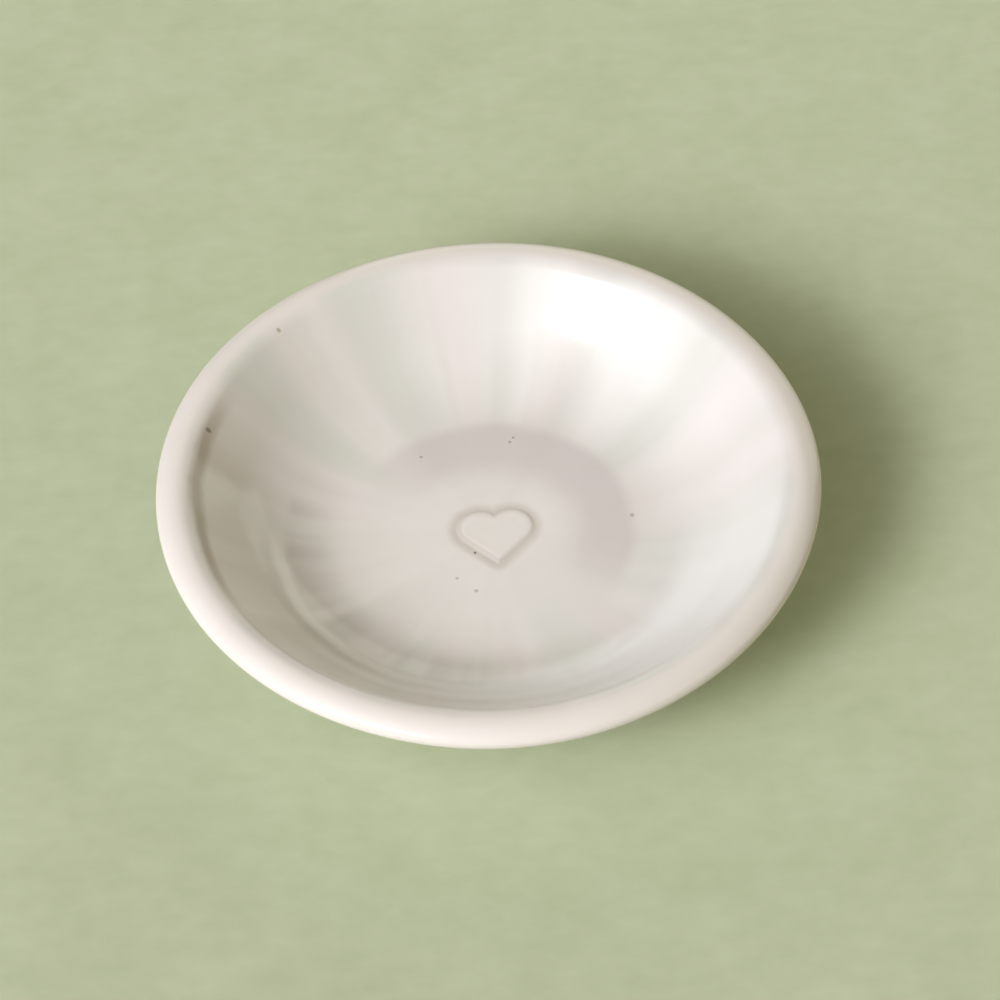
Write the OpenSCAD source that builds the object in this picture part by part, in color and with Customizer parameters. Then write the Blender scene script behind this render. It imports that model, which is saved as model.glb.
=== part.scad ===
// Ring dish: a small round dish of glazed stoneware that holds a few rings.
// The clay body is one turned form with a broad rounded rim, a flat floor, a straight
// sloping wall and a foot ring.
// A heart sprig, moulded apart, is pressed into the middle of the floor, and the glaze
// is a coat of its own: it pools in the dent round the heart and stops above the foot.
// Millimetres, +Z up. The origin is the centre of the foot ring's resting face, and the
// heart's tip points along -Y.

/* [Dish] */
// Diameter across the rim, over the glaze
rim_d = 90; // [85:0.5:96]
// Height from the table to the top of the rim, over the glaze
dish_h = 17.5; // [16:0.25:19]
// Clay thickness of the floor
floor_t = 3; // [2.6:0.1:3.4]
// Radius of the flat floor, where the wall starts to rise
well_r = 20; // [18.5:0.25:21]
// Slope of the straight part of the wall's inside, in degrees
wall_slope = 44.5; // [43:0.5:46]

/* [Rim] */
// Radius of the clay over the rim's broad crown
crown_r = 3.65; // [3.3:0.05:4]
// Radius of the clay round the rim's outer edge
lip_r = 1; // [0.8:0.05:1.3]
// How far the highest line of the rim lies in from its outer edge, on the clay
crown_in = 2.7; // [2.3:0.1:2.9]

/* [Foot ring] */
// Outside diameter of the foot ring, bare clay
foot_d = 50; // [47:0.5:54]
// Width of the foot ring
foot_w = 2.8; // [2.4:0.1:3.4]
// Height of the hollow under the floor
foot_h = 2; // [1.8:0.1:2.4]
// Radius on the two edges of the resting face
foot_edge = 0.5; // [0.3:0.05:0.7]
// Radius of the cove where the foot ring meets the wall and the floor
foot_cove = 0.8; // [0.6:0.05:0.9]

/* [Heart] */
// How far to the right of the dish's middle the heart was pressed in by hand
heart_x = 0.8; // [-1.5:0.1:1.5]
// Turn of the heart, counter-clockwise, in degrees
heart_turn = 2; // [-10:1:10]
// Width of the heart across its two lobes, over the glaze
heart_w = 10.3; // [9:0.1:11]
// Height of the heart's crest above the glazed floor
heart_up = 0.2; // [0.15:0.01:0.4]
// How far the heart's face is dished below its crest
heart_dip = 0.2; // [0.1:0.01:0.24]
// How far the crest is rounded down to the heart's outline
heart_round = 0.08; // [0.04:0.01:0.12]
// Width of the rounded crest, inward from the outline
crest_w = 0.45; // [0.35:0.05:0.6]
// Width of the heart's sloping side, outward from the outline
side_w = 0.4; // [0.35:0.05:0.6]
// Width of the dent that pressing left round the heart, side included
dent_w = 2.1; // [1.6:0.1:2.4]
// Depth of the dent below the glazed floor
dent_d = 0.18; // [0.1:0.01:0.24]
// Depth of the seat in the clay that the sprig is bedded in
seat_d = 0.3; // [0.2:0.05:0.5]
// Width of the seat beyond the heart's outline
seat_w = 0.9; // [0.7:0.05:1.2]

/* [Glaze] */
// Thickness of the glaze
glaze_t = 0.35; // [0.3:0.05:0.45]
// Thickness of the glaze over the sprig's flat top, at its thinnest
glaze_on_heart = 0.2; // [0.15:0.05:0.25]
// Height above the table at which the glaze stops on the foot ring
glaze_line = 0.8; // [0.7:0.05:1]

/* [Hidden] */
$fn = 120;

bisque_colour = [0.80, 0.74, 0.65];
sprig_colour = [0.86, 0.80, 0.72];
glaze_colour = [0.90, 0.88, 0.83];

// Facets along the wall, each quarter or so of the rim, the coves, and the edges of foot
// and glaze
wall_n = 26;
rim_n = 7;
cove_n = 6;
edge_n = 5;
// Facets along each straight side and each lobe of the heart
side_n = 8;
lobe_n = 18;

// Foot ring radii, and the floor of bare clay
foot_out_r = foot_d / 2;
foot_in_r = foot_out_r - foot_w;
// The underside is flat in its middle and rises over its last stretch to the foot ring
under_run = 4;
under_r = foot_in_r - under_run;
floor_z = foot_h + floor_t;
glazed_floor_z = floor_z + glaze_t;
// Level at which the quarter round of the glaze's lower edge begins
glaze_edge_z = glaze_line + glaze_t;

// The rim: a broad crown that falls away to both sides of its highest line, and a small
// round at its outer edge. The crown turns by crown_turn before that round takes over
crown_c = [rim_d / 2 - glaze_t - crown_in, dish_h - glaze_t - crown_r];
crown_turn = asin((crown_in - lip_r) / (crown_r - lip_r));
lip_c = crown_c + (crown_r - lip_r) * [sin(crown_turn), cos(crown_turn)];

// Inside of the bowl: an arc that leaves the flat floor level, and a straight wall that
// touches both this arc and the crown
inside_run = crown_c[0] - well_r;
inside_rise = crown_c[1] - floor_z;
inside_fall = inside_run * sin(wall_slope) - inside_rise * cos(wall_slope) - crown_r;
inside_r = inside_fall / (1 - cos(wall_slope));
inside_c = [well_r, floor_z + inside_r];

// Outside of the bowl: an arc that leaves the underside level and holds the outer round
outside_run = lip_c[0] - under_r;
outside_rise = lip_c[1] - foot_h;
outside_r = (outside_run ^ 2 + outside_rise ^ 2 - lip_r ^ 2) / (2 * (outside_rise - lip_r));
outside_c = [under_r, foot_h + outside_r];
outside_turn = angle_to(outside_c, lip_c) + 90;

// Coves where the foot ring's two sides meet the underside's arc
cove_reach = outside_r + foot_cove;
cove_out_c = cove_centre(foot_out_r + foot_cove);
cove_in_c = cove_centre(foot_in_r - foot_cove);

// The heart: a square on its corner with a half circle on each upper side.
// This is the square's side, and the tip's distance from the middle of the heart
heart_side = heart_w / (1 + sqrt(1 / 2));
heart_tip = 0.9 * heart_side;
// The sprig stays under the glaze, inside the heart's outline
sprig_inset = crest_w / 2;
sprig_base_z = floor_z - seat_d;
sprig_top_z = glazed_floor_z + heart_up - heart_dip - glaze_on_heart;

// The glaze round the heart is shaped out to this radius, and laps the rest of the coat
relief_r = heart_tip + 1.5 * dent_w;
relief_lap = 0.4;
relief_sink = 0.01;
relief_base_z = sprig_base_z - 1;
// The places, along each ray from the heart's middle, at which the relief has a ring:
// shares of the way to the outline, then steps from it, inward where negative
inner_shares = [0.3, 0.55, 0.75];
ring_steps = [
    for (k = [1, 0.6, 0.25]) -crest_w * k,
    for (k = [0, 0.25, 0.5, 0.75, 1]) side_w * k,
    for (k = [0.2, 0.4, 0.6, 0.8, 1.2]) side_w + (dent_w - side_w) * k
];

// Centre, at distance x from the axis, of a cove that touches the underside's arc
function cove_centre(x) = [x, outside_c[1] - sqrt(cove_reach ^ 2 - (x - under_r) ^ 2)];

// Direction from one point to another, in degrees
function angle_to(from, to) = atan2(to[1] - from[1], to[0] - from[0]);

// Points along an arc round c, from one angle to another. The last one is left out where
// the line goes on from that point
function arc(c, r, from, to, n, goes_on = false) = [
    for (i = [0:goes_on ? n - 1 : n])
        let (a = from + (to - from) * i / n)
        c + r * [cos(a), sin(a)]
];

function reversed(path) = [for (i = [len(path) - 1:-1:0]) path[i]];

// The dish's section to the right of its axis is drawn in three lines. Two of them can
// be moved out by grow, which gives the glaze's surface. This one runs from the edge of
// the flat floor up the inside, over the rim and down the outside to the foot ring. It
// has a point on the rim's highest line and one at its widest
function upper_line(grow) = concat(
    arc(inside_c, inside_r - grow, -90, wall_slope - 90, wall_n),
    arc(crown_c, crown_r + grow, wall_slope + 90, 90, rim_n, true),
    arc(crown_c, crown_r + grow, 90, 90 - crown_turn, rim_n, true),
    arc(lip_c, lip_r + grow, 90 - crown_turn, 0, rim_n, true),
    arc(lip_c, lip_r + grow, 0, outside_turn - 90, rim_n, true),
    arc(outside_c, outside_r + grow, outside_turn - 90, angle_to(outside_c, cove_out_c), wall_n, true),
    arc(cove_out_c, foot_cove - grow, angle_to(cove_out_c, outside_c), 180, cove_n)
);

// Down and up the foot ring, round the two edges of its resting face
function foot_line() = concat(
    arc([foot_out_r - foot_edge, foot_edge], foot_edge, 0, -90, edge_n),
    arc([foot_in_r + foot_edge, foot_edge], foot_edge, -90, -180, edge_n)
);

// Through the inner cove and along the underside to the edge of its flat middle
function under_line(grow) = concat(
    arc(cove_in_c, foot_cove - grow, 0, angle_to(cove_in_c, outside_c), cove_n, true),
    arc(outside_c, outside_r + grow, angle_to(outside_c, cove_in_c), -90, cove_n)
);

// Points on the heart's outline, from its tip round the +X side to the cleft and back
function half_heart() = let (s = heart_side, lobe_c = [s, 3 * s] / sqrt(8)) [
    for (i = [0:side_n - 1]) [1, 1] * s / sqrt(2) * i / side_n,
    for (i = [0:lobe_n]) lobe_c + s / 2 * [cos(180 * i / lobe_n - 45), sin(180 * i / lobe_n - 45)]
];
function heart_outline() = let (half = half_heart(), last = len(half) - 1) [
    for (p = half) p - [0, heart_tip],
    for (i = [last - 1:-1:1]) [-half[i][0], half[i][1] - heart_tip]
];

// Distance of a point from the heart's outline, negative inside it. The sums are done
// in the frame of the heart's square: along its lower side, and in from that side
function from_heart(p) = let (
    s = heart_side,
    up = p[1] + heart_tip,
    along = (up + abs(p[0])) / sqrt(2),
    in = (up - abs(p[0])) / sqrt(2)
)
    along < 0 ? norm([along, in])
    : along > s ? norm([along - s, in - s / 2]) - s / 2
    : in < 0 ? -in
    : -min(in, norm([s - along, s - in]));

// A step from 0 to 1 that starts and ends level
function ease(t) = let (u = min(max(t, 0), 1)) u * u * (3 - 2 * u);
function mix(a, b, t) = a + (b - a) * t;

// Height of the glaze over the floor at distance d from the heart's outline:
// the dished face, the rounded crest, the sloping side, and the dent round it
function relief(d) = let (
    crest = heart_up - heart_round,
    round = heart_round * ease(-d / crest_w),
    dip = heart_dip * ease((-d - crest_w) / (heart_side / 2 - crest_w))
)
    d < 0 ? crest + round - dip
    : d < side_w ? mix(crest, -dent_d, ease(d / side_w))
    : mix(-dent_d, 0, ease((d - side_w) / (dent_w - side_w)));

// The heart in plan, grown or inset by grow, with true arcs. It has the square first,
// then a round tip where it is grown, and a round bite at the cleft where it is inset
module heart_plan(grow) {
    s = heart_side;
    translate([0, -heart_tip])
        rotate(45)
            difference() {
                union() {
                    translate([max(-grow, 0), -grow])
                        square([s - max(-grow, 0), s + grow]);
                    translate([-grow, max(-grow, 0)])
                        square([s + grow, s - max(-grow, 0)]);
                    for (lobe = [[s, s / 2], [s / 2, s]])
                        translate(lobe)
                            circle(r = s / 2 + grow);
                    if (grow > 0)
                        circle(r = grow);
                }
                if (grow < 0)
                    translate([s, s])
                        circle(r = -grow);
            }
}

// Fired clay: floor, wall, rim and foot ring in one, with the seat for the sprig
module clay_body() {
    color(bisque_colour)
        difference() {
            rotate_extrude()
                polygon(concat([[0, floor_z]], upper_line(0), foot_line(), under_line(0), [[0, foot_h]]));
            heart_seat();
        }
}

// Moves its children to where the heart was pressed in
module at_heart() {
    translate([heart_x, 0, 0])
        rotate(heart_turn)
            children();
}

// The seat that pressing the sprig in leaves in the clay, open at the top
module heart_seat() {
    at_heart()
        translate([0, 0, sprig_base_z])
            linear_extrude(seat_d + 1)
                heart_plan(seat_w);
}

// The heart's clay, moulded apart and bedded in its seat. extra lengthens it downward
module heart_sprig(extra = 0) {
    color(sprig_colour)
        at_heart()
            translate([0, 0, sprig_base_z - extra])
                linear_extrude(sprig_top_z - sprig_base_z + extra)
                    heart_plan(-sprig_inset);
}

// A block whose top is the glaze round the heart: rings of points that follow the
// heart's outline, each at the height that its distance from the outline gives
module relief_block() {
    outline = heart_outline();
    n = len(outline);
    rings = [
        for (share = inner_shares) [for (p = outline) p * share],
        for (step = ring_steps) [for (p = outline) p * (1 + step / norm(p))]
    ];
    edge = [for (p = outline) p * relief_r / norm(p)];
    surface = [for (ring = rings) for (p = ring) [p[0], p[1], glazed_floor_z + relief(from_heart(p))]];
    top = [0, 0, glazed_floor_z + relief(from_heart([0, 0]))];
    lip = [for (p = edge) [p[0], p[1], glazed_floor_z - relief_sink]];
    foot = [for (p = edge) [p[0], p[1], relief_base_z]];
    points = concat([top], surface, lip, foot, [[0, 0, relief_base_z]]);
    levels = len(rings) + 2;
    // Index of the point at place i of level k, where level 0 is the innermost ring
    function at(k, i) = 1 + k * n + i % n;
    faces = [
        for (i = [0:n - 1]) [0, at(0, i + 1), at(0, i)],
        for (k = [0:levels - 2], i = [0:n - 1]) each [
            [at(k, i), at(k, i + 1), at(k + 1, i)],
            [at(k + 1, i), at(k, i + 1), at(k + 1, i + 1)]
        ],
        for (i = [0:n - 1]) [len(points) - 1, at(levels - 1, i), at(levels - 1, i + 1)]
    ];
    polyhedron(points, faces, convexity = 4);
}

// Glaze round the heart: the block with the clay floor and the sprig taken out of it
module heart_glaze() {
    difference() {
        at_heart()
            relief_block();
        difference() {
            translate([0, 0, relief_base_z - 1])
                cylinder(r = well_r, h = floor_z - relief_base_z + 1);
            heart_seat();
        }
        heart_sprig(extra = 2);
    }
}

// Glaze from the foot ring up the outside, over the rim and down to the heart. It stops
// short of the table, in a quarter round that dies into the foot ring's side
module glaze_coat() {
    lower_edge = arc([foot_out_r, glaze_edge_z], glaze_t, 0, -90, edge_n);
    color(glaze_colour) {
        difference() {
            rotate_extrude()
                polygon(concat(
                    [[0, glazed_floor_z]], upper_line(glaze_t), lower_edge,
                    reversed(upper_line(0)), [[0, floor_z]]
                ));
            at_heart()
                translate([0, 0, floor_z - 1])
                    cylinder(r = relief_r - relief_lap, h = glaze_t + 2);
        }
        heart_glaze();
    }
}

// Glaze on the underside, inside the foot ring, with the same quarter-round edge
module underside_glaze() {
    lower_edge = arc([foot_in_r, glaze_edge_z], glaze_t, -90, -180, edge_n);
    color(glaze_colour)
        rotate_extrude()
            polygon(concat(
                lower_edge, under_line(glaze_t), [[0, foot_h - glaze_t], [0, foot_h]],
                reversed(under_line(0))
            ));
}

clay_body();
heart_sprig();
glaze_coat();
underside_glaze();
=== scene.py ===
import math

import bpy
import numpy as np
from mathutils import Matrix, Vector


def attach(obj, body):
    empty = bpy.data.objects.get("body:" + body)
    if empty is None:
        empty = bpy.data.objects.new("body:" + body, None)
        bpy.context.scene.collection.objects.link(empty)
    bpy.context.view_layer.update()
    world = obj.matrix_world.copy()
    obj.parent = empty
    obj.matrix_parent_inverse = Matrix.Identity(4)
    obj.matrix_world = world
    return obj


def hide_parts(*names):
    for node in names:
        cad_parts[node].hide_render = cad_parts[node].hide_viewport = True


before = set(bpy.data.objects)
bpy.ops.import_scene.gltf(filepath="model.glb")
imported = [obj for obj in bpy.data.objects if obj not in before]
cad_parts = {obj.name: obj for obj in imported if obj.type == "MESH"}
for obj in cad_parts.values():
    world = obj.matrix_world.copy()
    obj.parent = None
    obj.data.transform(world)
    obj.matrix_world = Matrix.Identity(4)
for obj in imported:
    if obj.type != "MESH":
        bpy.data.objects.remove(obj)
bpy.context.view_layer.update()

scene = bpy.context.scene
scene.view_settings.view_transform = "Standard"


# ---- Camera ----
# A long lens looks down on the dish from its front at 49 degrees. It leans by 3 degrees,
# so the right end of the rim stands a little higher than the left one in the picture.
lens_px = 4411
picture_px = 1000
camera = bpy.data.objects.new("camera", bpy.data.cameras.new("camera"))
camera.data.lens = camera.data.sensor_width * lens_px / picture_px
camera.data.shift_x = 0.0105
camera.data.shift_y = 0.0200
camera.data.clip_start = 0.01
camera.data.clip_end = 50
scene.collection.objects.link(camera)
scene.camera = camera

looked_at = Vector((0, 0, 0.008))
distance = 0.6
elevation = math.radians(49.12)
lean = math.radians(3.1)
towards_camera = Vector((0, -math.cos(elevation), math.sin(elevation)))
level_right = Vector((1, 0, 0))
level_up = towards_camera.cross(level_right)
right = level_right * math.cos(lean) - level_up * math.sin(lean)
up = level_up * math.cos(lean) + level_right * math.sin(lean)
turn = Matrix((right, up, towards_camera)).transposed().to_4x4()
camera.matrix_world = Matrix.Translation(looked_at + distance * towards_camera) @ turn


# ---- Floor ----
# A wide board, painted sage green, which the dish stands on. The matt paint was rolled on,
# so it takes no highlight, and has faint cloudy patches, short flecks and a fine tooth.
def linear(hex_colour):
    """An sRGB hex colour as linear red, green, blue and alpha."""
    channels = [int(hex_colour[i:i + 2], 16) / 255 for i in (1, 3, 5)]
    return [c / 12.92 if c <= 0.04045 else ((c + 0.055) / 1.055) ** 2.4 for c in channels] + [1]


def add(material, kind, settings=None, **links):
    """Adds a node. Settings are properties or input values. Links go to inputs by their name,
    or by i and their number, such as i0."""
    node = material.node_tree.nodes.new("ShaderNode" + kind)
    for key, value in (settings or {}).items():
        if hasattr(node, str(key)):
            setattr(node, key, value)
        else:
            node.inputs[key].default_value = value
    for key, source in links.items():
        is_number = key[0] == "i" and key[1:].isdigit()
        key = int(key[1:]) if is_number else key.replace("_", " ")
        material.node_tree.links.new(node.inputs[key], source)
    return node


def new_material(name):
    material = bpy.data.materials.new(name)
    material.use_nodes = True
    material.node_tree.nodes.clear()
    return material


def mesh_object(name, points, faces, material):
    """A smooth-shaded mesh object, with its points given in millimetres."""
    mesh = bpy.data.meshes.new(name)
    mesh.from_pydata((np.asarray(points) / 1000).tolist(), [], faces)
    mesh.polygons.foreach_set("use_smooth", [True] * len(mesh.polygons))
    mesh.materials.append(material)
    mesh.update()
    piece = bpy.data.objects.new(name, mesh)
    scene.collection.objects.link(piece)
    return piece


sage_paint = new_material("sage_matt_paint_rolled")
where = add(sage_paint, "TexCoord").outputs["Object"]
# cloudy patches about 12 mm across, and flecks 3 to 4 mm long that the roller's nap left
cloud = add(sage_paint, "TexNoise", {"Scale": 1 / 0.012, "Detail": 5.0}, Vector=where)
roller = add(sage_paint, "Mapping", {"Scale": (1 / 0.004, 1 / 0.0028, 1)}, Vector=where)
streak = add(sage_paint, "TexNoise", {"Scale": 1.0, "Detail": 4.0}, Vector=roller.outputs[0])
mottle = add(sage_paint, "Math", {"operation": "ADD"}, i0=cloud.outputs[0], i1=streak.outputs[0])
tone = add(sage_paint, "MapRange", {"From Min": 0.6, "From Max": 1.4}, Value=mottle.outputs[0])
paint = add(sage_paint, "Mix", {"data_type": "RGBA", 6: linear("#b4bc9a"), 7: linear("#bfc7a7")},
            Factor=tone.outputs[0])
# the paint's tooth is finer than this, and drawn 0.8 mm coarse so that it shows
tooth = add(sage_paint, "TexNoise", {"Scale": 1 / 0.0008, "Detail": 2.0}, Vector=where)
tooth_bump = add(sage_paint, "Bump", {"Strength": 0.15, "Distance": 0.0001},
                 Height=tooth.outputs[0])
board = add(sage_paint, "BsdfPrincipled", {"Roughness": 0.85, "Specular IOR Level": 0.2},
            Base_Color=paint.outputs[2], Normal=tooth_bump.outputs[0])
add(sage_paint, "OutputMaterial", Surface=board.outputs[0])

half = 2000
corners = [(-half, -half, 0), (half, -half, 0), (half, half, 0), (-half, half, 0)]
floor = mesh_object("floor", corners, [(0, 1, 2, 3)], sage_paint)


# ---- Lights ----
# Daylight from a large window at the front left is the key: a soft core with a wide glow
# above it and to its right. A white card behind the dish shows in the glossy near wall.
def facing(azimuth, height):
    """The way from the dish at an azimuth and an elevation in degrees."""
    a, h = math.radians(azimuth), math.radians(height)
    return Vector((math.sin(a) * math.cos(h), math.cos(a) * math.cos(h), math.sin(h)))


def softbox(name, direction, distance, size, power, colour, soft=True):
    """A lamp that faces the dish. The direction is its azimuth, clockwise from straight
    behind the dish, and its elevation. A soft lamp is a round cloth that glows most in its
    middle and fades to nothing at its edge."""
    away = facing(*direction)
    data = bpy.data.lights.new(name, "AREA")
    data.shape = "ELLIPSE" if soft else "RECTANGLE"
    data.size, data.size_y = size
    data.energy = power
    data.color = colour
    lamp = bpy.data.objects.new(name, data)
    lamp.location = away * distance
    lamp.rotation_euler = away.to_track_quat("Z", "Y").to_euler()
    lamp.visible_camera = False
    scene.collection.objects.link(lamp)
    if soft:
        data.use_nodes = True
        data.node_tree.nodes.clear()
        spot = add(data, "TexCoord").outputs["UV"]
        out = add(data, "VectorMath", {"operation": "DISTANCE", 1: (0.5, 0.5, 0)}, i0=spot)
        cube = add(data, "Math", {"operation": "POWER", 1: 3.0}, i0=out.outputs["Value"])
        fall = add(data, "Math", {"operation": "MULTIPLY", 1: -27.0}, i0=cube.outputs[0])
        glow = add(data, "Math", {"operation": "EXPONENT"}, i0=fall.outputs[0])
        cloth = add(data, "Emission", {"Color": (1, 1, 1, 1)}, Strength=glow.outputs[0])
        add(data, "OutputLight", Surface=cloth.outputs[0])


softbox("window_core", (-136.0, 33.0), 3.0, (1.9, 1.6), 188.0, (0.97, 0.95, 1.05))
softbox("window_glow", (-128.0, 36.5), 3.0, (5.6, 4.4), 152.0, (0.98, 1.00, 1.04))
softbox("white_card", (22.0, 14.6), 0.5, (0.62, 0.26), 0.90, (0.97, 1.00, 0.92), soft=False)

# Light also comes back from the room: from a wall on the right, from the wall behind the
# dish and from the ceiling. Each has its azimuth, elevation, narrowness and colour
room = bpy.data.worlds.new("pale_room")
room.use_nodes = True
room.node_tree.nodes.clear()
scene.world = room
way = add(room, "TexCoord").outputs["Generated"]
fill = None
for azimuth, height, narrow, colour in (
        (103, 28, 6.0, (0.74, 0.63, 0.42)),
        (-5, 33, 6.0, (0.30, 0.20, 0.16)),
        (0, 88, 6.0, (0.16, 0.21, 0.12))):
    axis = facing(azimuth, height) * narrow
    near = add(room, "VectorMath", {"operation": "DOT_PRODUCT", 1: axis}, i0=way)
    less = add(room, "Math", {"operation": "SUBTRACT", 1: narrow}, i0=near.outputs["Value"])
    share = add(room, "Math", {"operation": "EXPONENT"}, i0=less.outputs[0])
    wall = add(room, "Background", {"Color": (*colour, 1)}, Strength=share.outputs[0])
    fill = wall if fill is None else add(room, "AddShader", i0=fill.outputs[0], i1=wall.outputs[0])
seen = add(room, "LightPath").outputs["Is Camera Ray"]
backdrop = add(room, "Background", {"Color": linear("#c9cfb4"), "Strength": 1.0})
both = add(room, "MixShader", None, Fac=seen, i1=fill.outputs[0], i2=backdrop.outputs[0])
add(room, "OutputWorld", Surface=both.outputs[0])


# ---- Clay body ----
# One thrown and turned piece of buff stoneware: floor, wall, rounded rim and foot ring.
# It is fired bare and then glazed, so only the foot ring shows its fine matt grain.
rim_r, dish_h, floor_t, well_r, wall_slope = 45.0, 17.5, 3.0, 20.0, math.radians(44.5)
crown_r, lip_r, crown_in = 3.65, 1.0, 2.7
foot_h, foot_out, foot_w, foot_edge, foot_cove = 2.0, 25.0, 2.8, 0.5, 0.8
under_step = 4
glaze_t, glaze_line = 0.35, 0.8
foot_in = foot_out - foot_w
floor_z = foot_h + floor_t
glazed_z = floor_z + glaze_t

# the rim's broad crown and the small round at its outer edge, then the arcs of the inside
# and the outside that meet them; the crown's inner half is thrown a little tighter
shoulder_r = 2.95
crown_c = np.array([rim_r - glaze_t - crown_in, dish_h - glaze_t - crown_r])
shoulder_c = crown_c + np.array([0, crown_r - shoulder_r])
crown_turn = math.asin((crown_in - lip_r) / (crown_r - lip_r))
lip_c = crown_c + (crown_r - lip_r) * np.array([math.sin(crown_turn), math.cos(crown_turn)])
inside_fall = (shoulder_c[0] - well_r) * math.sin(wall_slope)
inside_fall -= (shoulder_c[1] - floor_z) * math.cos(wall_slope) + shoulder_r
inside_r = inside_fall / (1 - math.cos(wall_slope))
inside_c = np.array([well_r, floor_z + inside_r])
under_r = foot_in - under_step
run, climb = lip_c[0] - under_r, lip_c[1] - foot_h
outside_r = (run ** 2 + climb ** 2 - lip_r ** 2) / (2 * (climb - lip_r))
outside_c = np.array([under_r, foot_h + outside_r])


def heading(start, end):
    return math.atan2(end[1] - start[1], end[0] - start[0])


def arc(centre, radius, start, end, steps):
    a = np.linspace(start, end, steps + 1)
    return np.column_stack([centre[0] + radius * np.cos(a), centre[1] + radius * np.sin(a)])


def cove_centre(x):
    reach = outside_r + foot_cove
    return np.array([x, outside_c[1] - math.sqrt(reach ** 2 - (x - under_r) ** 2)])


cove_out = cove_centre(foot_out + foot_cove)
cove_in = cove_centre(foot_in - foot_cove)
outside_turn = heading(outside_c, lip_c)


def upper_line(grow, fine):
    """From the flat floor's edge up the inside, over the rim and down to the foot ring."""
    bend = arc(inside_c, inside_r - grow, -math.pi / 2, wall_slope - math.pi / 2, 2 * fine)
    shoulder = arc(shoulder_c, shoulder_r + grow, wall_slope + math.pi / 2, math.pi / 2, fine)
    return np.vstack([
        bend[:-1],
        bend[-1] + np.linspace(0, 1, fine)[:-1, None] * (shoulder[0] - bend[-1]),
        shoulder[:-1],
        arc(crown_c, crown_r + grow, math.pi / 2, math.pi / 2 - crown_turn, fine // 2)[:-1],
        arc(lip_c, lip_r + grow, math.pi / 2 - crown_turn, outside_turn, fine)[:-1],
        arc(outside_c, outside_r + grow, outside_turn, heading(outside_c, cove_out), 2 * fine)[:-1],
        arc(cove_out, foot_cove - grow, heading(cove_out, outside_c), math.pi, fine // 2),
    ])


def under_line(grow, fine):
    """From the foot ring's inner side through its cove to the underside's flat middle."""
    return np.vstack([
        arc(cove_in, foot_cove - grow, 0, heading(cove_in, outside_c), fine // 2)[:-1],
        arc(outside_c, outside_r + grow, heading(outside_c, cove_in), -math.pi / 2, fine // 2),
    ])


def ease(t):
    t = np.clip(t, 0, 1)
    return t * t * (3 - 2 * t)


# the heart's outline, as distances from it in the frame of the square it is built on
heart_w, heart_x, heart_turn = 10.3, 0.8, math.radians(2)
side = heart_w / (1 + math.sqrt(0.5))
tip = 0.9 * side


def from_heart(x, y):
    """Distance from the heart's outline, negative inside it."""
    rise = y + tip
    along = (rise + np.abs(x)) / math.sqrt(2)
    inward = (rise - np.abs(x)) / math.sqrt(2)
    return np.where(
        along < 0, np.hypot(along, inward),
        np.where(along > side, np.hypot(along - side, inward - side / 2) - side / 2,
                 np.where(inward < 0, -inward,
                          -np.minimum(inward, np.hypot(side - along, side - inward)))))


def level_radius(rays, distance):
    """How far out along each ray the given distance from the heart's outline is met."""
    low, high = np.zeros(len(rays)), np.full(len(rays), 15.0)
    for _ in range(40):
        mid = (low + high) / 2
        outside = from_heart(mid * rays[:, 0], mid * rays[:, 1]) > distance
        high = np.where(outside, mid, high)
        low = np.where(outside, low, mid)
    return (low + high) / 2


def rays_round(count):
    a = np.linspace(0, 2 * math.pi, count, endpoint=False)
    return np.column_stack([np.cos(a), np.sin(a)])


def placed(flat, z):
    """Points given about the heart's middle, moved to where the heart sits in the dish."""
    c, s = math.cos(heart_turn), math.sin(heart_turn)
    return np.column_stack([heart_x + c * flat[:, 0] - s * flat[:, 1],
                            s * flat[:, 0] + c * flat[:, 1], np.broadcast_to(z, len(flat))])


def turned_rings(line, rays):
    """One ring round the dish's axis for each point of a section line."""
    c, s = math.cos(heart_turn), math.sin(heart_turn)
    around = np.column_stack([c * rays[:, 0] - s * rays[:, 1], s * rays[:, 0] + c * rays[:, 1]])
    return [np.column_stack([r * around, np.full(len(rays), z)]) for r, z in line]


def skin(rings, start, end):
    """Points and faces of the surface through the rings, closed by a point at each end."""
    n = len(rings[0])
    here = np.arange(n)
    beside = (here + 1) % n
    faces = []
    for k in range(len(rings) - 1):
        low, high = k * n, (k + 1) * n
        faces += np.column_stack([low + here, high + here, high + beside, low + beside]).tolist()
    points = np.vstack([*rings, start, end])
    last_ring = (len(rings) - 1) * n
    first, last = len(points) - 2, len(points) - 1
    faces += [(first, i, j) for i, j in zip(here.tolist(), beside.tolist())]
    faces += [(last, last_ring + j, last_ring + i) for i, j in zip(here.tolist(), beside.tolist())]
    return points, faces


def hand_thrown(points):
    """Moves the points by the small waves that a rim thrown by hand has, up to 0.5 mm."""
    a = np.arctan2(points[:, 1], points[:, 0])
    # it starts 0.19 mm inwards, so that no wave leaves the box of the solids; then how many
    # waves go round the rim, their height in mm and their phase
    wave = -0.19
    for waves, height, phase in ((2, 0.19, 1.76), (3, 0.08, -1.80), (4, 0.05, -0.12), (5, 0.07, 0.19)):
        wave = wave + height * np.cos(waves * a + phase)
    out = np.hypot(points[:, 0], points[:, 1])
    share = ease((out - foot_out) / (rim_r - foot_out))
    return points + (wave * share / np.maximum(out, 1))[:, None] * points * (1, 1, 0)


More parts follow.
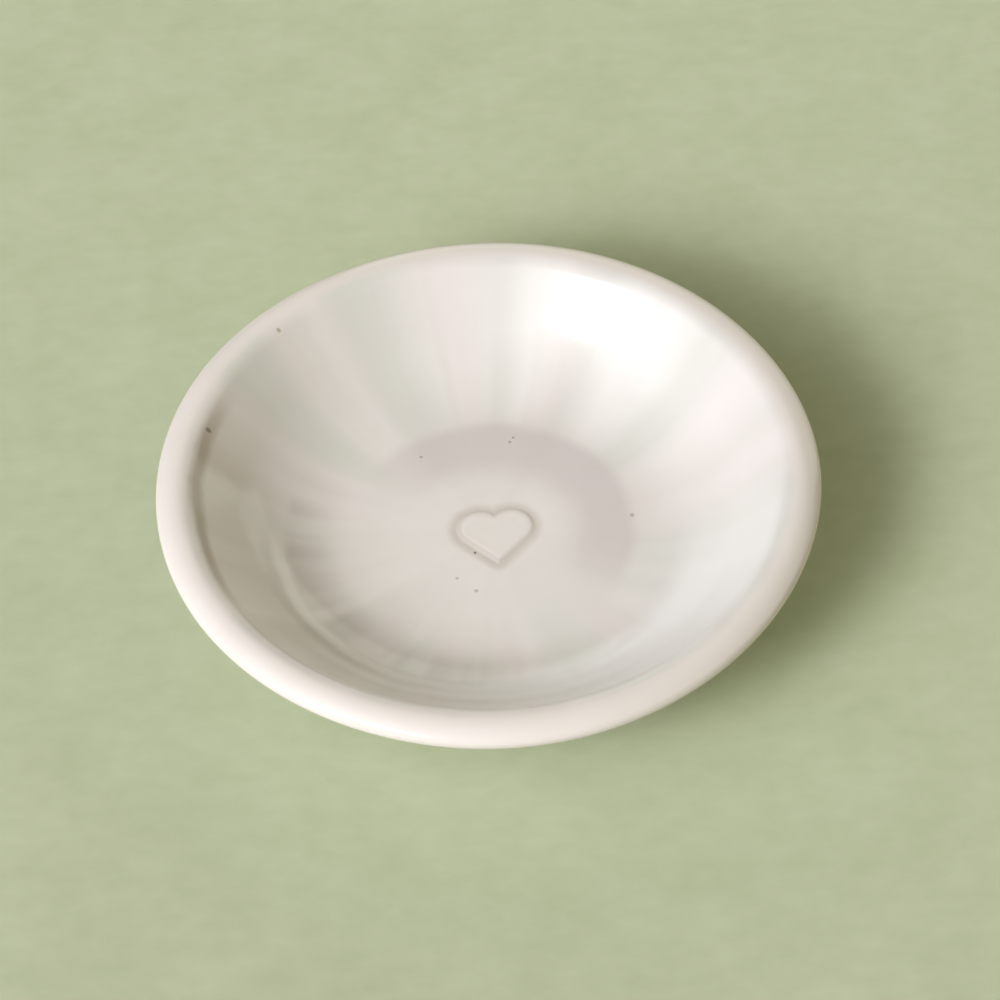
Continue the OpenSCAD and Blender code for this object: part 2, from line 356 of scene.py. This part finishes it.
# the seat for the sprig first, then the floor round it, the bowl, the foot and the underside
middle = np.zeros((1, 2))
around_heart = 12
rays = rays_round(240)
seat_d, seat_w = 0.3, 0.9
seat_edge = level_radius(rays, seat_w)[:, None] * rays
rings = [placed(seat_edge * 0.5, floor_z - seat_d), placed(seat_edge, floor_z - seat_d),
         placed(seat_edge, floor_z)]
rings += turned_rings([(around_heart, floor_z)], rays)
rings += turned_rings(upper_line(0, 16), rays)
foot = np.vstack([
    arc((foot_out - foot_edge, foot_edge), foot_edge, 0, -math.pi / 2, 8),
    arc((foot_in + foot_edge, foot_edge), foot_edge, -math.pi / 2, -math.pi, 8),
])
rings += turned_rings(foot, rays) + turned_rings(under_line(0, 16), rays)
points, faces = skin(rings, placed(middle, floor_z - seat_d), [(0, 0, foot_h)])
points = hand_thrown(points)

# Buff stoneware, fired bare: matt and slightly rough, so it takes no clear highlight. It
# has grog about 0.4 mm across, cloudy patches of 8 mm, and iron specks some 2 mm apart
stoneware = new_material("buff_stoneware_fired_bare")
where = add(stoneware, "TexCoord").outputs["Object"]
grog = add(stoneware, "TexNoise", {"Scale": 1 / 0.0004, "Detail": 3.0}, Vector=where)
patch = add(stoneware, "TexNoise", {"Scale": 1 / 0.008, "Detail": 2.0}, Vector=where)
blend = add(stoneware, "Math", {"operation": "MULTIPLY_ADD", 1: 0.5}, i0=grog.outputs[0],
            i2=patch.outputs[0])
tone = add(stoneware, "MapRange", {"From Min": 0.5, "From Max": 1.1}, Value=blend.outputs[0])
clay = add(stoneware, "Mix", {"data_type": "RGBA", 6: linear("#b59f80"), 7: linear("#cdbb9f")},
           Factor=tone.outputs[0])
iron = add(stoneware, "TexVoronoi", {"Scale": 1 / 0.0022}, Vector=where)
spot = add(stoneware, "MapRange", {"From Min": 0.10, "From Max": 0.16, "To Min": 1.0, "To Max": 0.0},
           Value=iron.outputs["Distance"])
speckled = add(stoneware, "Mix", {"data_type": "RGBA", 7: linear("#6f5a42")}, Factor=spot.outputs[0],
               i6=clay.outputs[2])
grain = add(stoneware, "Bump", {"Strength": 0.5, "Distance": 0.00005}, Height=grog.outputs[0])
fired = add(stoneware, "BsdfPrincipled", {"Roughness": 0.8, "IOR": 1.5},
            Base_Color=speckled.outputs[2], Normal=grain.outputs[0])
add(stoneware, "OutputMaterial", Surface=fired.outputs[0])

clay_body = mesh_object("clay_body_turned", points, faces, stoneware)
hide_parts("clay_body")
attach(clay_body, "root")


# ---- Heart sprig ----
# The small heart, pressed from the same clay in a mould and luted into its seat. It lies
# wholly under the glaze, so its own face never shows, and the CAD solid is kept for it.
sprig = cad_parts["heart_sprig"]
sprig.data.materials.clear()
sprig.data.materials.append(stoneware)


# ---- Glaze coat ----
# Milk-white glaze, dipped and fired glossy. It follows the clay 0.35 mm thick, softens
# the heart's edges, pools in the dent round it, and ends in a soft edge above the foot.
heart_up, heart_dip, heart_round = 0.08, 0.02, 0.03
crest_w, dip_w, side_w, dent_w, dent_d = 0.6, 0.9, 0.7, 2.2, 0.07
glaze_on_heart = 0.2


def relief(d):
    """Height of the glaze over the floor at a distance from the heart's outline, which lies
    in the middle of the slope."""
    d = d + side_w / 2
    face = (heart_up - heart_round + heart_round * ease(-d / crest_w)
            - heart_dip * ease((-d - crest_w) / dip_w))
    slope = heart_up - heart_round - (heart_up - heart_round + dent_d) * ease(d / side_w)
    dent = -dent_d * (1 - ease((d - side_w) / (dent_w - side_w)))
    return np.where(d < 0, face, np.where(d < side_w, slope, dent))


# the rings lie far apart on the heart's face and close together on its slope
rays = rays_round(420)
outline = level_radius(rays, 0)
reach = [outline * t for t in np.linspace(0.04, 0.808, 21)[:-1]]
inner_end = reach[-1]
reach += [inner_end + (outline - inner_end) * t for t in np.linspace(0, 1, 17)[1:-1]]
reach += [level_radius(rays, d) for d in np.linspace(0, side_w, 12)[:-1]]
reach += [level_radius(rays, d) for d in np.linspace(side_w, 1.1 * dent_w, 20)]
rings = []
for out in reach:
    flat = out[:, None] * rays
    rings.append(placed(flat, glazed_z + relief(from_heart(flat[:, 0], flat[:, 1]))))
flat_edge = turned_rings([(well_r, glazed_z)], rays)[0]
rings += [rings[-1] + (flat_edge - rings[-1]) * t for t in np.linspace(0, 1, 20)[1:-1]]
lower_edge = arc((foot_out, glaze_line + glaze_t), glaze_t, 0, -math.pi / 2, 8)
rings += turned_rings(upper_line(glaze_t, 24), rays) + turned_rings(lower_edge, rays)
# the side that lies on the clay, the sprig and the seat, from the foot back to the middle
inset = level_radius(rays, -crest_w / 2)[:, None] * rays
seat_edge = level_radius(rays, seat_w)[:, None] * rays
sprig_top = glazed_z - glaze_on_heart
rings += turned_rings(upper_line(0, 10)[::-1], rays)
rings += turned_rings([(around_heart, floor_z)], rays)
rings += [placed(seat_edge, floor_z), placed(seat_edge, floor_z - seat_d),
          placed(inset, floor_z - seat_d), placed(inset, sprig_top)]
top = placed(middle, glazed_z + relief(from_heart(middle[:, 0], middle[:, 1])))
points, faces = skin(rings, top, placed(middle, sprig_top))
points = hand_thrown(points)

# Milk-white glaze, dipped and fired glossy: a clear shine over a milky body colour. While
# it melted it ran down the wall, so it drifts from warm white to pinkish beige and to
# grey-green in streaks that point at the middle of the dish, fainter on its floor
milk_glaze = new_material("milk_white_glaze_fired_glossy")
where = add(milk_glaze, "TexCoord").outputs["Object"]
flat = add(milk_glaze, "VectorMath", {"operation": "MULTIPLY", 1: (1, 1, 0)}, i0=where).outputs[0]
metres_out = add(milk_glaze, "VectorMath", {"operation": "LENGTH"}, i0=flat).outputs["Value"]
out = add(milk_glaze, "Math", {"operation": "MULTIPLY", 1: 1000.0}, i0=metres_out).outputs[0]
way = add(milk_glaze, "VectorMath", {"operation": "NORMALIZE"}, i0=flat).outputs[0]
on_wall = add(milk_glaze, "MapRange", {"interpolation_type": "SMOOTHSTEP", "From Min": 10.0,
                                       "From Max": 28.0, "To Min": 0.12}, Value=out).outputs[0]


def streaks(across, along, detail, low, high):
    """Streaks along the radius: how many units of noise there are in the radius of the
    circle they are spread round, and in a metre along them."""
    spread = add(milk_glaze, "VectorMath", {"operation": "SCALE", "Scale": across}, i0=way).outputs[0]
    slide = add(milk_glaze, "VectorMath", {"operation": "SCALE", "Scale": along}, i0=flat).outputs[0]
    at = add(milk_glaze, "VectorMath", {"operation": "ADD"}, i0=spread, i1=slide).outputs[0]
    noise = add(milk_glaze, "TexNoise", {"Scale": 1.0, "Detail": detail}, Vector=at).outputs[0]
    return add(milk_glaze, "MapRange", {"From Min": low, "From Max": high}, Value=noise).outputs[0]


def lay_tint(under, tint, strength, *shares):
    """The glaze's colour so far, with a tint laid over it where all the shares are high."""
    share = shares[0]
    for other in shares[1:]:
        share = add(milk_glaze, "Math", {"operation": "MULTIPLY"}, i0=share, i1=other).outputs[0]
    share = add(milk_glaze, "Math", {"operation": "MULTIPLY", 1: strength}, i0=share).outputs[0]
    tints = {"data_type": "RGBA", 7: linear(tint)}
    if isinstance(under, str):
        tints[6] = linear(under)
        return add(milk_glaze, "Mix", tints, Factor=share).outputs[2]
    return add(milk_glaze, "Mix", tints, Factor=share, i6=under).outputs[2]


# warm white, with broad drifts of pinkish beige and of grey-green, then finer runs of sand
colour = lay_tint("#e3dfd8", "#dad1ca", 0.60, streaks(3.4, 9, 0.6, 0.42, 0.66), on_wall)
colour = lay_tint(colour, "#d0d1c6", 0.70, streaks(2.6, 8, 0.5, 0.46, 0.68), on_wall)
colour = lay_tint(colour, "#cbc5ba", 0.18, streaks(8.0, 14, 1.0, 0.48, 0.75), on_wall)
# clouds about 9 mm across
cloud = add(milk_glaze, "TexNoise", {"Scale": 1 / 0.009, "Detail": 3.0}, Vector=where).outputs[0]
cloudy = add(milk_glaze, "MapRange", {"From Min": 0.40, "From Max": 0.75}, Value=cloud).outputs[0]
colour = lay_tint(colour, "#d3cdc7", 0.26, cloudy)
ragged = add(milk_glaze, "Math", {"operation": "MULTIPLY_ADD", 1: 1.6}, i0=cloud, i2=out).outputs[0]

# Bands that follow the rim, most of them painted light and shade: the direction, in
# degrees from +X, in which a band is strongest, the cosines from it at which it fades out and
# is full, the radii in mm, made ragged by the clouds, between which it comes and goes, its
# colour and strength, and what breaks it up
# streaks that break up the painted shade on the near left wall
shade_streaks = streaks(6.5, 16, 1.0, 0.36, 0.66)
for towards, narrow, comes, goes, hex_colour, strength, broken in (
        # a darker pinkish grey band over the outer part of the flat floor, on its back right side
        (53, (-0.25, 0.50), (9.0, 15.8), (19.3, 21.9), "#cbc3be", 0.70, None),
        # painted shade on the near left wall, which faces away from the window light
        (-135, (0.20, 0.75), (21.0, 27.4), (27.9, 29.2), "#a9a498", 0.34, shade_streaks),
        # painted reflection in the near wall: a light line, and a dark line just outside it
        (-112, (0.25, 0.60), (28.7, 29.3), (29.8, 30.7), "#f1efe8", 0.45, None),
        (-112, (0.25, 0.60), (30.3, 31.1), (31.4, 32.8), "#b3afa4", 0.32, None),
        # painted light: the near right wall lighter
        (-62, (0.30, 0.95), (25.3, 30.3), (39.3, 41.8), "#eeece8", 0.80, None),
        # painted shade, brownish, just inside the rim's crown on the left
        (182, (0.84, 0.995), (38.6, 39.8), (40.1, 41.4), "#a08f7a", 0.62, None),
        # painted light: the rim's crown a little whiter all round
        (0, (-2.0, -1.0), (41.3, 42.9), (60.0, 61.0), "#e6ded5", 0.75, None)):
    a = math.radians(towards)
    turned = add(milk_glaze, "VectorMath", {"operation": "DOT_PRODUCT", 1: (math.cos(a), math.sin(a), 0)},
                 i0=way)
    side_share = add(milk_glaze, "MapRange", {"interpolation_type": "SMOOTHSTEP", "From Min": narrow[0],
                                              "From Max": narrow[1]}, Value=turned.outputs["Value"])
    starts = add(milk_glaze, "MapRange", {"interpolation_type": "SMOOTHSTEP", "From Min": comes[0],
                                          "From Max": comes[1]}, Value=ragged)
    ends = add(milk_glaze, "MapRange", {"interpolation_type": "SMOOTHSTEP", "From Min": goes[0],
                                        "From Max": goes[1], "To Min": 1.0, "To Max": 0.0}, Value=ragged)
    shares = [side_share.outputs[0], starts.outputs[0], ends.outputs[0]]
    if broken is not None:
        shares.append(broken)
    colour = lay_tint(colour, hex_colour, strength, *shares)

# the dent round the heart is darker and a little browner: partly the glaze pooled there, partly painted
# shade in the dent
pooled_and_shaded = add(milk_glaze, "Attribute", {"attribute_name": "pooled_and_shaded"}).outputs["Fac"]
colour = lay_tint(colour, "#c5bbb0", 0.70, pooled_and_shaded)
# and it lies thin and pale over the heart's face
thin = add(milk_glaze, "Attribute", {"attribute_name": "thin"}).outputs["Fac"]
colour = lay_tint(colour, "#e2ddd5", 0.40, thin)

# a few iron specks that melted into the glaze: place and radius in mm, and colour
for x, y, size, hex_colour in (
        (-37.6, 11.7, 0.50, "#978c77"), (-27.8, 29.1, 0.42, "#b3ac98"), (-9.0, 14.5, 0.32, "#aaa196"),
        (3.9, 17.2, 0.28, "#a59c90"), (3.4, 16.4, 0.34, "#aea59a"), (-2.2, -3.4, 0.28, "#7d7264"),
        (19.5, 1.8, 0.42, "#adae9d"), (-2.3, -10.2, 0.40, "#bdb6ac"), (-4.8, -7.8, 0.32, "#bdb6ac")):
    gap = add(milk_glaze, "VectorMath", {"operation": "DISTANCE", 1: (x / 1000, y / 1000, 0)}, i0=flat)
    edge = size / 1000
    dot = add(milk_glaze, "MapRange", {"interpolation_type": "SMOOTHSTEP", "From Min": 0.4 * edge,
                                       "From Max": edge, "To Min": 1.0, "To Max": 0.0},
              Value=gap.outputs["Value"])
    colour = lay_tint(colour, hex_colour, 1.0, dot.outputs[0])

# the melt left the surface very slightly uneven, in waves about 12 mm long
swell = add(milk_glaze, "TexNoise", {"Scale": 1 / 0.012, "Detail": 1.0}, Vector=where)
swell_bump = add(milk_glaze, "Bump", {"Strength": 1.0, "Distance": 0.00005},
                 Height=swell.outputs[0])
gloss = add(milk_glaze, "MapRange", {"From Min": 0.3, "From Max": 0.7, "To Min": 0.11, "To Max": 0.16},
            Value=cloud)
# glass has an IOR of 1.5; the level is lowered to the soft highlight that the dish has
glossy = add(milk_glaze, "BsdfPrincipled", {"IOR": 1.5, "Specular IOR Level": 0.28}, Base_Color=colour,
             Roughness=gloss.outputs[0], Normal=swell_bump.outputs[0])
add(milk_glaze, "OutputMaterial", Surface=glossy.outputs[0])

glaze_coat = mesh_object("glaze_coat_dipped", points, faces, milk_glaze)
# for each point of the mesh: how much pooled glaze and painted shade lie in the dent round the heart, and
# how thin the glaze is over it
c, t = math.cos(heart_turn), math.sin(heart_turn)
east, north = points[:, 0] - heart_x, points[:, 1]
beyond = from_heart(c * east + t * north, c * north - t * east)
for name, weight in (("pooled_and_shaded", ease((beyond + 0.8) / 0.9) * (1 - ease((beyond - 0.2) / 1.7))),
                    ("thin", ease((-beyond - 0.6) / 0.8))):
    layer = glaze_coat.data.attributes.new(name, "FLOAT", "POINT")
    layer.data.foreach_set("value", weight)
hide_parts("glaze_coat")
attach(glaze_coat, "root")


# ---- Underside glaze ----
# The same glaze on the underside, inside the foot ring. The foot was wiped clean before
# the firing, so this patch and the coat outside never meet.
lower_edge = arc((foot_in, glaze_line + glaze_t), glaze_t, -math.pi / 2, -math.pi, 8)
rays = rays_round(240)
rings = turned_rings(under_line(0, 16)[::-1], rays)
rings += turned_rings(lower_edge, rays) + turned_rings(under_line(glaze_t, 16), rays)
points, faces = skin(rings, [(0, 0, foot_h)], [(0, 0, foot_h - glaze_t)])
underside = mesh_object("underside_glaze_wiped", points, faces, milk_glaze)
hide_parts("underside_glaze")
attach(underside, "root")
